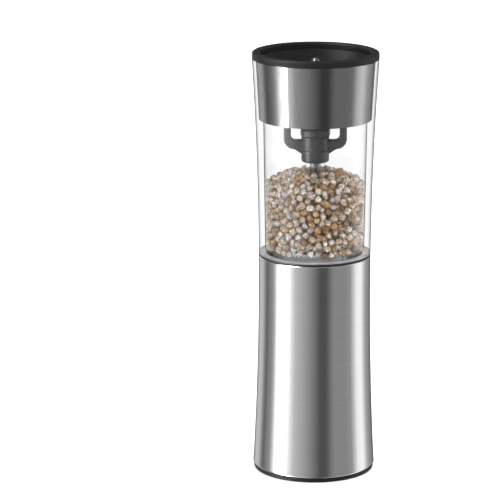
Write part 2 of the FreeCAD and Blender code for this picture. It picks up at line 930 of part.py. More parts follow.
def make_rim_ring():
    outer = side_radius(rim_low)
    inner = outer - cup_outer_inset() - cup_wall
    top = rim_low + rim_height
    return turned([
        (inner, rim_low), (outer, rim_low, 0.7), (outer, top, 1.0), (inner, top, 0.9),
    ])


def make_grinding_cup():
    high = rim_low - fit_gap
    inset = cup_outer_inset()
    cup = side_solid(cup_floor_low, high, inset)
    inside = side_solid(cup_floor_top, high + 1, inset + cup_wall)
    cup = cup.cut(inside)
    for x, y in circle_places(yoke_screw_circle, 3, 90):
        cup = cup.fuse(rod(2.8, cup_floor_low, cup_floor_top + 3.0, x, y))
        cup = cup.cut(rod(screw_radius + fit_gap, 0, cup_floor_top + 2.2, x, y))
    return cup.cut(rod(burr_outer + fit_gap, 0, rim_low)).removeSplitter()


def make_burr_ring():
    flange = burr_outer + burr_flange - 0.2
    ring = turned([
        (burr_bore_low, burr_low), (flange, burr_low), (flange, cup_floor_low - fit_gap),
        (burr_outer, cup_floor_low - fit_gap), (burr_outer, burr_top, 0.8),
        (burr_bore_top, burr_top),
    ])
    # slanted grooves, deeper towards the chamber
    groove = web([
        (burr_bore_low - 1, burr_low - 1), (burr_bore_low + 2.2, burr_low - 1),
        (burr_bore_top + 0.7, burr_top + 1), (burr_bore_top - 1, burr_top + 1),
    ], 1.0)
    groove.rotate(point(0, 0, burr_low), point(1, 0, 0), 14)
    for copy in around(groove, ring_grooves):
        ring = ring.cut(copy)
    return ring


def make_inner_burr():
    slope = (burr_bore_top - burr_bore_low) / (burr_top - burr_low)
    low_radius = burr_bore_low + slope * (cone_low - burr_low) - burr_gap
    top_radius = burr_bore_low + slope * (cone_top - burr_low) - burr_gap
    cone = turned([
        (0, cone_low), (low_radius, cone_low), (top_radius, cone_top, 0.5), (0, cone_top),
    ])
    flute = web([
        (low_radius - 2.4, cone_low - 1), (low_radius + 2, cone_low - 1),
        (top_radius + 2, cone_top + 1), (top_radius - 0.8, cone_top + 1),
    ], 1.2)
    flute.rotate(point(0, 0, cone_low), point(1, 0, 0), -16)
    for copy in around(flute, cone_flutes):
        cone = cone.cut(copy)
    cone = cone.cut(rod(shaft_radius + spring_wire * 4 + 0.1, cone_low - 1, spring_seat))
    return cone.cut(hexagon(shaft_radius + 2 * fit_gap, cone_low - 1, cone_top + 1))


def make_burr_spring():
    # open coil between the shaft's shoulder and the inner burr
    low = shoulder_low + shoulder_thick + spring_wire
    height = spring_seat - spring_wire - low
    radius = shaft_radius + spring_wire * 2 + 0.1
    path = Part.makeLongHelix(height / spring_turns, height, radius)
    path.translate(point(0, 0, low))
    start = point(radius, 0, low)
    circle = Part.Wire([Part.makeCircle(spring_wire / 2, start, along_y)])
    return Part.Wire(path.Edges).makePipeShell([circle], True, True)


def make_yoke():
    bore = shaft_radius + fit_gap + bush_wall + fit_gap
    hub = tube(hub_radius, bore, hub_low + fit_gap, hub_high)
    high = yoke_low + 0.5
    arm = web([
        (bore + 0.6, arm_low - 2.0), (hub_radius + 0.3, arm_low - 2.0), (arm_inner - 1.6, arm_low),
        (arm_outer, arm_low, 5.0), (arm_outer, high), (arm_inner, high),
        (arm_inner, arm_high, 2.2), (bore + 0.6, arm_high),
    ], arm_depth)
    long_edges = [edge for edge in arm.Edges if abs(edge.tangentAt(edge.FirstParameter).y) < 0.01]
    outer_edges = [edge for edge in long_edges if edge.CenterOfMass.x > hub_radius + 1.0
                   and edge.CenterOfMass.z < high - 0.01]
    arm = arm.makeFillet(0.9, outer_edges)
    under_hub = rod(hub_radius + fit_gap, hub_sleeve_low, hub_low + fit_gap)
    yoke = hub.fuse(arm).fuse(spun(arm, 180)).cut(under_hub)
    flange = tube(yoke_flange_radius, burr_bore_low + 2.0, yoke_low, yoke_top)
    yoke = yoke.fuse(flange)
    for x, y in circle_places(yoke_screw_circle, 3, 90):
        yoke = yoke.cut(rod(screw_radius + slip_gap, yoke_low - 1, yoke_top + 1, x, y))
    return yoke.removeSplitter()


def make_yoke_screws():
    places = circle_places(yoke_screw_circle, 3, 90)
    return [upright_screw(x, y, yoke_low, cup_floor_top + 1.8, -1) for x, y in places]


def make_hub_cap():
    bore = shaft_radius + 2 * fit_gap
    return turned([
        (bore, hub_high + fit_gap), (hub_cap_radius - 0.7, hub_high + fit_gap),
        (hub_cap_radius, hub_high + 0.9, 0.5), (hub_cap_radius, hub_cap_top, 1.0),
        (bore, hub_cap_top),
    ])


def make_hub_sleeve():
    bore = shaft_radius + fit_gap + bush_wall + fit_gap
    return turned([
        (bore, hub_sleeve_low), (hub_radius, hub_sleeve_low, 1.1), (hub_radius, hub_low, 0.5),
        (bore, hub_low),
    ])


def make_hub_bush():
    bore = shaft_radius + fit_gap
    return tube(bore + bush_wall, bore, hub_sleeve_low + 1.0, hub_high)


def make_drive_shaft():
    # round where it runs in the hub, six-sided at both ends, with a shoulder for the spring
    lower = hexagon(shaft_radius, shaft_low, floor_top + 8.0)
    shoulder = rod(shaft_radius + spring_wire * 3.2, shoulder_low, shoulder_low + shoulder_thick)
    middle = rod(shaft_radius, floor_top + 7.9, cone_low - 2.0)
    upper = hexagon(shaft_radius, cone_low - 2.1, cone_top - 0.5)
    thread = rod(hex_flat - 0.1, cone_top - 0.6, knob_neck_top - 3.0)
    return lower.fuse(middle).fuse(upper).fuse(thread).fuse(shoulder).removeSplitter()


def make_shaft_collar():
    bore = shaft_radius + fit_gap
    high = hub_sleeve_low - 0.3
    return turned([
        (bore, high - collar_length), (bore + 0.7, high - collar_length),
        (collar_flare, high - 0.9, 1.2), (collar_flare, high), (bore, high),
    ])


def make_adjust_knob():
    grip_top = knob_low + knob_grip
    knob = turned([
        (0, knob_low), (knob_radius - 1.0, knob_low), (knob_radius, knob_low + 1.0),
        (knob_radius, grip_top, 1.2), (knob_neck_radius + 1.6, grip_top, 2.4),
        (knob_neck_radius, knob_neck_top), (0, knob_neck_top),
    ])
    for copy in around(rod(1.1, knob_low - 1, grip_top + 1, knob_radius + 0.5), 12):
        knob = knob.cut(copy)
    return knob.cut(rod(hex_flat, knob_low - 1, knob_neck_top - 2.5))


def make_knob_tip():
    low = knob_neck_top + fit_gap
    return turned([
        (0, low), (tip_radius, low), (tip_radius, tip_top - 1.4, 0.4), (tip_radius - 1.1, tip_top, 0.5),
        (0, tip_top),
    ])


chassis = make_chassis()
first_planets = planet_gears(first_low)
second_planets = planet_gears(second_low)

nodes = {
    "foot_ring": make_foot_ring(),
    "bottom_cover": make_bottom_cover(),
    "bottom_screws": make_bottom_screws(),
    "steel_shell": make_steel_shell(),
    "collar_ring": make_collar_ring(),
    "deck": make_deck(),
    "deck_seal": make_deck_seal(),
    "deck_screws": make_deck_screws(),
    "chassis_front": chassis_half(chassis, -1),
    "chassis_rear": chassis_half(chassis, 1),
    "chassis_screws": make_chassis_screws(),
    "control_board": make_control_board(),
    "charging_socket": make_charging_socket(),
    "charge_light": make_charge_light(),
    "tilt_switch_can": make_tilt_switch(),
    "tilt_ball": make_tilt_ball(),
    "battery_cell": make_battery_cell(),
    "battery_tabs": make_battery_tabs(),
    "motor_leads": make_motor_leads(),
    "motor_can": make_motor_can(),
    "motor_end_cap": make_motor_end_cap(),
    "motor_magnets": make_motor_magnets(),
    "motor_bushes": make_motor_bushes(),
    "motor_brushes": make_motor_brushes(),
    "armature": make_armature(),
    "windings": make_windings(),
    "commutator": make_commutator(),
    "motor_shaft": make_motor_shaft(),
    "sun_pinion": make_sun_pinion(),
    "motor_screws": make_motor_screws(),
    "gearbox_housing": make_gearbox_housing(),
    "gearbox_cover": make_gearbox_cover(),
    "gearbox_screws": make_gearbox_screws(),
    "first_carrier": make_first_carrier(),
    "output_carrier": make_output_carrier(),
    "output_bush": make_output_bush(),
    "drive_coupling": make_drive_coupling(),
    "clear_chamber": make_clear_chamber(),
    "pepper_fill": make_pepper_fill(),
    "steel_sleeve": make_steel_sleeve(),
    "rim_ring": make_rim_ring(),
    "grinding_cup": make_grinding_cup(),
    "burr_ring": make_burr_ring(),
    "inner_burr": make_inner_burr(),
    "burr_spring": make_burr_spring(),
    "yoke": make_yoke(),
    "yoke_screws": make_yoke_screws(),
    "hub_cap": make_hub_cap(),
    "hub_sleeve": make_hub_sleeve(),
    "hub_bush": make_hub_bush(),
    "drive_shaft": make_drive_shaft(),
    "shaft_collar": make_shaft_collar(),
    "adjust_knob": make_adjust_knob(),
    "knob_tip": make_knob_tip(),
}
for number, letter in enumerate("abc"):
    nodes["first_planet_" + letter] = first_planets[number]
    nodes["second_planet_" + letter] = second_planets[number]

os.makedirs("parts", exist_ok=True)
for name, shape in nodes.items():
    solids = shape if isinstance(shape, list) else [shape]
    whole = solids[0] if len(solids) == 1 else Part.makeCompound(solids)
    whole.exportStep("parts/" + name + ".step")
print(len(nodes), "nodes written")
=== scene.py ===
import math

import bpy
import numpy as np
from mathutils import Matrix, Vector, kdtree


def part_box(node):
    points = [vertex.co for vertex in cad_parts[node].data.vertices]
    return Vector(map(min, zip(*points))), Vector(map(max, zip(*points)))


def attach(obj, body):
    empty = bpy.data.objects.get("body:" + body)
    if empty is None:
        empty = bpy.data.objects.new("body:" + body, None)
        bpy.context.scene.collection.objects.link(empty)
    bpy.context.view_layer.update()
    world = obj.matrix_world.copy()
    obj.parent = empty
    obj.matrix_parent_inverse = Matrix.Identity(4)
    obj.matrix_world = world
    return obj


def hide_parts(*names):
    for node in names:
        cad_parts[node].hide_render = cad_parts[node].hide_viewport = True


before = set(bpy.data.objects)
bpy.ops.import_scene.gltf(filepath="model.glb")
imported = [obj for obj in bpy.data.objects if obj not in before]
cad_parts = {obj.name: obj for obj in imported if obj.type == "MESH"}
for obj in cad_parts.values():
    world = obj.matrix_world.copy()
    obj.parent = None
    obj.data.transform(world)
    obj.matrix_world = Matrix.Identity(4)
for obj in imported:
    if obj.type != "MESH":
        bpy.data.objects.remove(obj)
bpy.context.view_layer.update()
scene = bpy.context.scene
scene.view_settings.view_transform = "Standard"
scene.cycles.use_denoising = True


# small helpers for node trees

def addNode(tree, kind, **values):
    node = tree.nodes.new(kind)
    for name, value in values.items():
        setattr(node, name, value)
    return node


def feed(tree, source, target):
    # source is a socket to link from, or a plain value
    if isinstance(source, bpy.types.NodeSocket):
        tree.links.new(source, target)
    else:
        target.default_value = source


def maths(tree, operation, first, second=None):
    node = addNode(tree, "ShaderNodeMath", operation=operation)
    feed(tree, first, node.inputs[0])
    if second is not None:
        feed(tree, second, node.inputs[1])
    return node.outputs[0]


def mixColours(tree, share, first, second):
    node = addNode(tree, "ShaderNodeMix", data_type="RGBA")
    feed(tree, share, node.inputs[0])
    feed(tree, first, node.inputs[6])
    feed(tree, second, node.inputs[7])
    return node.outputs[2]


def spreadValue(tree, value, low, high, fromLow=0.0, fromHigh=1.0):
    node = addNode(tree, "ShaderNodeMapRange")
    for place, number in enumerate((value, fromLow, fromHigh, low, high)):
        feed(tree, number, node.inputs[place])
    return node.outputs[0]


def rampThrough(tree, value, stops):
    node = addNode(tree, "ShaderNodeValToRGB")
    points = node.color_ramp.elements
    while len(points) < len(stops):
        points.new(0.5)
    for point, (place, colour) in zip(points, stops):
        point.position = place
        point.color = (*colour, 1.0)
    feed(tree, value, node.inputs[0])
    return node.outputs[0]


def grey(level):
    return (level, level, level)


def solid(colour):
    return (*colour, 1.0)


# shared effects, built once

def startGroup(name, inputs, outputs):
    group = bpy.data.node_groups.new(name, "ShaderNodeTree")
    for label, kind, value in inputs:
        socket = group.interface.new_socket(name=label, in_out="INPUT", socket_type=kind)
        if value is not None:
            socket.default_value = value
    for label, kind in outputs:
        group.interface.new_socket(name=label, in_out="OUTPUT", socket_type=kind)
    start = addNode(group, "NodeGroupInput")
    end = addNode(group, "NodeGroupOutput")
    return group, start.outputs, end.inputs


def noiseAt(tree, vector, scale, detail=2.0, roughness=0.5):
    node = addNode(tree, "ShaderNodeTexNoise")
    feed(tree, vector, node.inputs["Vector"])
    feed(tree, scale, node.inputs["Scale"])
    feed(tree, detail, node.inputs["Detail"])
    feed(tree, roughness, node.inputs["Roughness"])
    return node.outputs["Fac"]


noiseMiddle = 0.5
lineNoise = dict(fineDetail=3.0, fineRoughness=0.6, fineShare=0.65,
                 broadScale=0.22, broadDetail=1.0, broadShare=0.35)
grainNoise = dict(fineDetail=2.0, slowDetail=3.0)


def makeTurnedLines():
    # fine lines that run round the mill, with broader faint bands among them
    group, given, out = startGroup(
        "turnedLines",
        [("Vector", "NodeSocketVector", None), ("Lines", "NodeSocketFloat", 2600.0),
         ("Run", "NodeSocketFloat", 30.0), ("Roughness", "NodeSocketFloat", 0.2),
         ("Spread", "NodeSocketFloat", 0.06)],
        [("Height", "NodeSocketFloat"), ("Tone", "NodeSocketFloat"),
         ("Roughness", "NodeSocketFloat")])
    parts = addNode(group, "ShaderNodeSeparateXYZ")
    feed(group, given["Vector"], parts.inputs[0])
    stretched = addNode(group, "ShaderNodeCombineXYZ")
    feed(group, maths(group, "MULTIPLY", parts.outputs[0], given["Run"]), stretched.inputs[0])
    feed(group, maths(group, "MULTIPLY", parts.outputs[1], given["Run"]), stretched.inputs[1])
    feed(group, maths(group, "MULTIPLY", parts.outputs[2], given["Lines"]), stretched.inputs[2])
    fine = noiseAt(group, stretched.outputs[0], 1.0, lineNoise["fineDetail"],
                   lineNoise["fineRoughness"])
    broad = noiseAt(group, stretched.outputs[0], lineNoise["broadScale"],
                    lineNoise["broadDetail"])
    both = maths(group, "ADD", maths(group, "MULTIPLY", fine, lineNoise["fineShare"]),
                 maths(group, "MULTIPLY", broad, lineNoise["broadShare"]))
    feed(group, fine, out["Height"])
    feed(group, both, out["Tone"])
    swing = maths(group, "MULTIPLY", maths(group, "SUBTRACT", both, noiseMiddle),
                  given["Spread"])
    feed(group, maths(group, "ADD", swing, given["Roughness"]), out["Roughness"])
    return group


def makeMouldedGrain():
    # the fine matt skin of moulded parts, with a slow drift in gloss
    group, given, out = startGroup(
        "mouldedGrain",
        [("Vector", "NodeSocketVector", None), ("Grain", "NodeSocketFloat", 2400.0),
         ("Drift", "NodeSocketFloat", 90.0), ("Roughness", "NodeSocketFloat", 0.4),
         ("Spread", "NodeSocketFloat", 0.1)],
        [("Height", "NodeSocketFloat"), ("Tone", "NodeSocketFloat"),
         ("Roughness", "NodeSocketFloat")])
    fine = noiseAt(group, given["Vector"], given["Grain"], grainNoise["fineDetail"])
    slow = noiseAt(group, given["Vector"], given["Drift"], grainNoise["slowDetail"])
    feed(group, fine, out["Height"])
    feed(group, slow, out["Tone"])
    swing = maths(group, "MULTIPLY", maths(group, "SUBTRACT", slow, noiseMiddle),
                  given["Spread"])
    feed(group, maths(group, "ADD", swing, given["Roughness"]), out["Roughness"])
    return group


turnedLines = makeTurnedLines()
mouldedGrain = makeMouldedGrain()
print("shared effects ready")


# finishes

def startFinish(name):
    material = bpy.data.materials.new(name)
    material.use_nodes = True
    tree = material.node_tree
    tree.nodes.clear()
    output = addNode(tree, "ShaderNodeOutputMaterial")
    shader = addNode(tree, "ShaderNodeBsdfPrincipled")
    tree.links.new(shader.outputs[0], output.inputs["Surface"])
    return material, tree, shader.inputs


def placeGroup(tree, group, **values):
    node = addNode(tree, "ShaderNodeGroup", node_tree=group)
    where = addNode(tree, "ShaderNodeTexCoord")
    feed(tree, where.outputs["Object"], node.inputs["Vector"])
    for name, value in values.items():
        node.inputs[name].default_value = value
    return node.outputs


def addBump(tree, sockets, height, strength, depth):
    bump = addNode(tree, "ShaderNodeBump")
    bump.inputs["Strength"].default_value = strength
    bump.inputs["Distance"].default_value = depth
    feed(tree, height, bump.inputs["Height"])
    feed(tree, bump.outputs[0], sockets["Normal"])


def feedTone(tree, sockets, tone, colour, shift):
    # the colour drifts a little darker and lighter with the pattern's tone
    darker = solid([part * (1 - shift) for part in colour])
    lighter = solid([part * (1 + shift) for part in colour])
    feed(tree, mixColours(tree, tone, darker, lighter), sockets["Base Color"])


def makeMetal(name, colour, rough, spread=0.06, lines=2600.0, run=30.0, toneShift=0.06,
              bump=0.15, depth=0.00002):
    material, tree, sockets = startFinish(name)
    effect = placeGroup(tree, turnedLines, Lines=lines, Run=run, Roughness=rough, Spread=spread)
    feedTone(tree, sockets, effect["Tone"], colour, toneShift)
    feed(tree, effect["Roughness"], sockets["Roughness"])
    sockets["Metallic"].default_value = 1.0
    addBump(tree, sockets, effect["Height"], bump, depth)
    return material


def makeMoulded(name, colour, rough, spread=0.1, grain=2400.0, toneShift=0.12, bump=0.2,
                depth=0.00002, specular=0.5, coat=0.0, coatRoughness=0.12):
    material, tree, sockets = startFinish(name)
    effect = placeGroup(tree, mouldedGrain, Grain=grain, Roughness=rough, Spread=spread)
    feedTone(tree, sockets, effect["Tone"], colour, toneShift)
    feed(tree, effect["Roughness"], sockets["Roughness"])
    sockets["Specular IOR Level"].default_value = specular
    sockets["Coat Weight"].default_value = coat
    sockets["Coat Roughness"].default_value = coatRoughness
    addBump(tree, sockets, effect["Height"], bump, depth)
    return material


# the clear wall's colour turns dark grey where it is seen edge-on: painted shade at its
# silhouettes
clearWall = dict(tint=grey(0.99), paintedEdgeShade=grey(0.14), edgeFrom=0.70, edgeTo=0.88, bend=1.012,
                 outerFrom=0.0248, outerTo=0.0256, innerShare=0.12, facingBlend=0.5, coat=1.0,
                 coatRoughness=0.03)


def makeClearPlastic(name, look):
    material, tree, sockets = startFinish(name)
    # painted shade: the grazing edges blend from the clear tint towards dark grey
    facing = addNode(tree, "ShaderNodeLayerWeight")
    facing.inputs["Blend"].default_value = look["facingBlend"]
    edge = spreadValue(tree, facing.outputs["Facing"], 0.0, 1.0, look["edgeFrom"], look["edgeTo"])
    # painted shade: a dark outline on the outer face where seen edge-on; the bore shows only a
    # hint of it
    flat = addNode(tree, "ShaderNodeVectorMath", operation="MULTIPLY")
    feed(tree, addNode(tree, "ShaderNodeTexCoord").outputs["Object"], flat.inputs[0])
    flat.inputs[1].default_value = (1.0, 1.0, 0.0)
    radius = addNode(tree, "ShaderNodeVectorMath", operation="LENGTH")
    feed(tree, flat.outputs[0], radius.inputs[0])
    outer = spreadValue(tree, radius.outputs["Value"], look["innerShare"], 1.0,
                        look["outerFrom"], look["outerTo"])
    edge = maths(tree, "MULTIPLY", edge, outer)
    colour = mixColours(tree, edge, solid(look["tint"]), solid(look["paintedEdgeShade"]))
    feed(tree, colour, sockets["Base Color"])
    sockets["Roughness"].default_value = 0.0
    sockets["IOR"].default_value = look["bend"]
    sockets["Transmission Weight"].default_value = 1.0
    sockets["Coat Weight"].default_value = look["coat"]
    sockets["Coat Roughness"].default_value = look["coatRoughness"]
    return material


# the pale grey below is painted light on the collar's top face, under the clear foot
collarLook = dict(black=grey(0.010), paintedLitTop=grey(0.80), seatFrom=0.10734, seatTo=0.10738,
                  lighten=1.3, grain=3200.0, rough=0.5, bump=0.2, bumpDepth=0.00002)


def makeCollarRubber(name, look):
    # black at its edge; its top face, where the clear foot sits, is painted pale: painted light
    material, tree, sockets = startFinish(name)
    effect = placeGroup(tree, mouldedGrain, Grain=look["grain"], Roughness=look["rough"])
    parts = addNode(tree, "ShaderNodeSeparateXYZ")
    feed(tree, addNode(tree, "ShaderNodeTexCoord").outputs["Object"], parts.inputs[0])
    # painted light: the top face above this height turns pale grey
    paintedLightMask = spreadValue(tree, parts.outputs[2], 0.0, 1.0, look["seatFrom"], look["seatTo"])
    edge = mixColours(tree, effect["Tone"], solid(look["black"]),
                      solid([part * look["lighten"] for part in look["black"]]))
    feed(tree, mixColours(tree, paintedLightMask, edge, solid(look["paintedLitTop"])), sockets["Base Color"])
    feed(tree, effect["Roughness"], sockets["Roughness"])
    addBump(tree, sockets, effect["Height"], look["bump"], look["bumpDepth"])
    return material


cornSkin = dict(
    shades=[(0.0, (0.16, 0.085, 0.035)), (0.12, (0.46, 0.26, 0.11)),
            (0.32, (0.66, 0.46, 0.27)), (0.55, (0.78, 0.63, 0.47)),
            (0.80, (0.66, 0.57, 0.53)), (1.0, (0.95, 0.87, 0.74))],
    # the dark brown for the creases is painted shade
    paintedCreaseShade=(0.060, 0.036, 0.022), creaseSize=820.0, creaseWidth=0.12, creaseShadeShare=0.82,
    creaseFrom=0.1, creaseTo=0.75, warpSize=900.0, warp=0.0009,
    hollowRough=0.62, ridgeRough=0.32, bump=1.0, bumpDepth=0.00050)


def makeCornSkin(name, look):
    # each corn has its own shade; painted shade darkens its creases, and its ridges catch the
    # light
    material, tree, sockets = startFinish(name)
    own = addNode(tree, "ShaderNodeAttribute", attribute_name="cornShade")
    where = addNode(tree, "ShaderNodeTexCoord")
    # a net of creases, bent out of line so that no two corns match
    bend = addNode(tree, "ShaderNodeTexNoise")
    feed(tree, where.outputs["Object"], bend.inputs["Vector"])
    bend.inputs["Scale"].default_value = look["warpSize"]
    shift = addNode(tree, "ShaderNodeVectorMath", operation="MULTIPLY_ADD")
    feed(tree, bend.outputs["Color"], shift.inputs[0])
    shift.inputs[1].default_value = (look["warp"],) * 3
    feed(tree, where.outputs["Object"], shift.inputs[2])
    net = addNode(tree, "ShaderNodeTexVoronoi", feature="DISTANCE_TO_EDGE")
    feed(tree, shift.outputs[0], net.inputs["Vector"])
    net.inputs["Scale"].default_value = look["creaseSize"]
    ridges = spreadValue(tree, net.outputs["Distance"], 0.0, 1.0, 0.0, look["creaseWidth"])
    shade = rampThrough(tree, own.outputs["Fac"], look["shades"])
    # painted shade: the creases blend towards the dark brown
    paintedCreaseMask = spreadValue(tree, ridges, look["creaseShadeShare"], 0.0, look["creaseFrom"],
                         look["creaseTo"])
    feed(tree, mixColours(tree, paintedCreaseMask, shade, solid(look["paintedCreaseShade"])), sockets["Base Color"])
    feed(tree, spreadValue(tree, ridges, look["hollowRough"], look["ridgeRough"]),
         sockets["Roughness"])
    addBump(tree, sockets, ridges, look["bump"], look["bumpDepth"])
    return material


metals = dict(
    bodySteel=dict(colour=grey(0.62), rough=0.135, spread=0.09, lines=2100.0, run=18.0,
                   toneShift=0.08, bump=0.3),
    sleeveSteel=dict(colour=grey(0.28), rough=0.07, spread=0.03, toneShift=0.03, bump=0.06),
    shaftSteel=dict(colour=(0.40, 0.41, 0.42), rough=0.25),
    screwZinc=dict(colour=(0.62, 0.62, 0.60), rough=0.28, run=900.0, lines=900.0),
    tipSteel=dict(colour=grey(0.12), rough=0.20, run=900.0, lines=900.0),
    brightPlate=dict(colour=grey(0.82), rough=0.10, run=400.0, lines=400.0),
    motorPlate=dict(colour=(0.50, 0.50, 0.48), rough=0.32, run=300.0, lines=700.0),
    bushBronze=dict(colour=(0.55, 0.36, 0.16), rough=0.36, run=1500.0, lines=1500.0),
    coilCopper=dict(colour=(0.62, 0.25, 0.10), rough=0.30, lines=3200.0, run=60.0,
                    toneShift=0.2, bump=0.8, depth=0.00008),
    coreIron=dict(colour=(0.26, 0.26, 0.27), rough=0.42, lines=4200.0, run=4.0,
                  toneShift=0.25, bump=0.5))

mouldings = dict(
    rimBlack=dict(colour=(0.010, 0.010, 0.011), rough=0.50, spread=0.10, grain=1500.0,
                  bump=0.35, depth=0.00003, specular=0.18),
    cupSatin=dict(colour=(0.017, 0.017, 0.018), rough=0.42, spread=0.06, bump=0.1),
    sealBlack=dict(colour=(0.009, 0.009, 0.010), rough=0.52, grain=3200.0, specular=0.25),
    deckSatin=dict(colour=(0.84, 0.84, 0.85), rough=0.25, toneShift=0.03, coat=0.6),
    coverBlack=dict(colour=(0.014, 0.014, 0.015), rough=0.45),
    charcoal=dict(colour=(0.030, 0.031, 0.033), rough=0.33, grain=2000.0, bump=0.2,
                  specular=0.65),
    chassisGrey=dict(colour=(0.085, 0.088, 0.095), rough=0.6, bump=0.35),
    gearAcetal=dict(colour=(0.74, 0.72, 0.66), rough=0.42, toneShift=0.04),
    burrCeramic=dict(colour=(0.72, 0.69, 0.62), rough=0.38, grain=5200.0, toneShift=0.05,
                     bump=0.4),
    boardMask=dict(colour=(0.012, 0.105, 0.045), rough=0.3, toneShift=0.25, coat=0.4),
    cellWrap=dict(colour=(0.05, 0.15, 0.42), rough=0.26, toneShift=0.06, coat=0.6),
    leadRed=dict(colour=(0.42, 0.025, 0.020), rough=0.45),
    magnetGrey=dict(colour=(0.060, 0.060, 0.064), rough=0.55, grain=6000.0, bump=0.5),
    lightPipe=dict(colour=(0.72, 0.78, 0.82), rough=0.2, toneShift=0.03, coat=0.5))

finishes = {name: makeMetal(name, **look) for name, look in metals.items()}
finishes.update({name: makeMoulded(name, **look) for name, look in mouldings.items()})
finishes["collarRubber"] = makeCollarRubber("collarRubber", collarLook)
finishes["clearPlastic"] = makeClearPlastic("clearPlastic", clearWall)
finishes["cornSkin"] = makeCornSkin("cornSkin", cornSkin)

finishNodes = {
    "bodySteel": ["steel_shell"],
    "sleeveSteel": ["steel_sleeve"],
    "shaftSteel": ["drive_shaft", "motor_shaft", "burr_spring"],
    "screwZinc": ["bottom_screws", "deck_screws", "chassis_screws", "motor_screws",
                  "gearbox_screws", "yoke_screws"],
    "brightPlate": ["charging_socket", "tilt_switch_can", "tilt_ball", "battery_tabs"],
    "tipSteel": ["knob_tip"],
    "motorPlate": ["motor_can", "gearbox_cover", "output_carrier"],
    "bushBronze": ["motor_bushes", "motor_brushes", "output_bush", "hub_bush", "sun_pinion"],
    "coilCopper": ["windings", "commutator"],
    "coreIron": ["armature"],
    "rimBlack": ["rim_ring"],
    "cupSatin": ["grinding_cup", "adjust_knob"],
    "collarRubber": ["collar_ring"],
    "sealBlack": ["foot_ring", "deck_seal"],
    "deckSatin": ["deck"],
    "coverBlack": ["bottom_cover", "drive_coupling"],
    "charcoal": ["yoke", "hub_cap", "hub_sleeve"],
    "chassisGrey": ["chassis_front", "chassis_rear"],
    "gearAcetal": ["motor_end_cap", "gearbox_housing", "first_carrier"]
    + [stage + "_planet_" + letter for stage in ("first", "second") for letter in "abc"],
    "burrCeramic": ["burr_ring", "inner_burr"],
    "boardMask": ["control_board"],
    "cellWrap": ["battery_cell"],
    "leadRed": ["motor_leads"],
    "magnetGrey": ["motor_magnets"],
    "lightPipe": ["charge_light"],
    "clearPlastic": ["clear_chamber", "shaft_collar"],
    "cornSkin": ["pepper_fill"],
}


def finishTheNodes():
    done = set()
    for finish, names in finishNodes.items():
        for name in names:
            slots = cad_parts[name].data.materials
            slots.clear()
            slots.append(finishes[finish])
            done.add(name)
    print("finished", len(done), "nodes; left:", sorted(set(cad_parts) - done))


finishTheNodes()


# peppercorns: settled as loose balls, then given their wrinkled shape by a node tree

cornHeap = dict(
    count=1420, smallest=0.00150, largest=0.00205, seed=23, middleShare=0.02,
    rounds=80, push=0.55, searchEvery=4, reach=2.3,  # reach is in radii of the largest corn
    wallRoom=0.00015, wallLean=0.0149,  # the chamber's wall leans out this much for each unit up
    shaftRadius=0.0026, lipRadius=0.0177, lipRise=0.0028,
    ridgeRadius=0.0095, peakDrop=0.0016, wallDrop=0.0055, shaftDrop=0.0030, overTop=0.3,
    wallCurve=1.4, shaftCurve=2, fullTurn=6.283, turnSeed=3, squashSeed=5, shadeSeed=8,
    squash=0.80, longest=1.06, ruffleDepth=0.00085, ruffleSize=800.0, ruffleMiddle=0.56,
    ruffleSwing=2.0)

nearlyNothing = 1e-7


def heapTop(radius, heap, peak, wallRadius):
    # a ridge round the shaft that falls to the wall and dips at the middle
    out = np.clip((radius - heap["ridgeRadius"]) / (wallRadius - heap["ridgeRadius"]), 0, 1)
    inward = np.clip((heap["ridgeRadius"] - radius) / heap["ridgeRadius"], 0, 1)
    return (peak - heap["wallDrop"] * out ** heap["wallCurve"]
            - heap["shaftDrop"] * inward ** heap["shaftCurve"])


def keepInChamber(places, sizes, heap, low, peak, wallRadius):
    radius = np.maximum(np.hypot(places[:, 0], places[:, 1]), nearlyNothing)
    widest = wallRadius + heap["wallRoom"] + heap["wallLean"] * (places[:, 2] - low) - sizes
    narrowest = heap["shaftRadius"] + sizes
    kept = np.clip(radius, narrowest, widest)
    places[:, :2] *= (kept / radius)[:, None]
    floor = low + sizes + np.where(kept < heap["lipRadius"] + sizes, heap["lipRise"], 0)
    ceiling = heapTop(kept, heap, peak, wallRadius) - sizes * heap["overTop"]
    places[:, 2] = np.clip(places[:, 2], floor, ceiling)


def touchingPairs(places, reach):
    tree = kdtree.KDTree(len(places))
    for index, place in enumerate(places):
        tree.insert(place, index)
    tree.balance()
    pairs = [(index, other) for index, place in enumerate(places)
             for _, other, _ in tree.find_range(place, reach) if other > index]
    return np.array(pairs)


def settleCorns(heap):
    draw = np.random.default_rng(heap["seed"])
    fillLow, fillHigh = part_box("pepper_fill")
    low, peak, wallRadius = fillLow.z, fillHigh.z - heap["peakDrop"], fillHigh.x
    sizes = draw.uniform(heap["smallest"], heap["largest"], heap["count"])
    radius = wallRadius * np.sqrt(draw.uniform(heap["middleShare"], 1.0, heap["count"]))
    angle = draw.uniform(0, 2 * math.pi, heap["count"])
    height = draw.uniform(low, peak, heap["count"])
    places = np.stack([radius * np.cos(angle), radius * np.sin(angle), height], axis=1)
    keepInChamber(places, sizes, heap, low, peak, wallRadius)
    for turn in range(heap["rounds"]):
        if turn % heap["searchEvery"] == 0:
            pairs = touchingPairs(places, heap["reach"] * heap["largest"])
        first, second = pairs[:, 0], pairs[:, 1]
        between = places[second] - places[first]
        apart = np.maximum(np.linalg.norm(between, axis=1), nearlyNothing)
        overlap = np.maximum(sizes[first] + sizes[second] - apart, 0) * heap["push"]
        shift = between / apart[:, None] * overlap[:, None] / 2
        np.add.at(places, first, -shift)
        np.add.at(places, second, shift)
        keepInChamber(places, sizes, heap, low, peak, wallRadius)
    return places, sizes


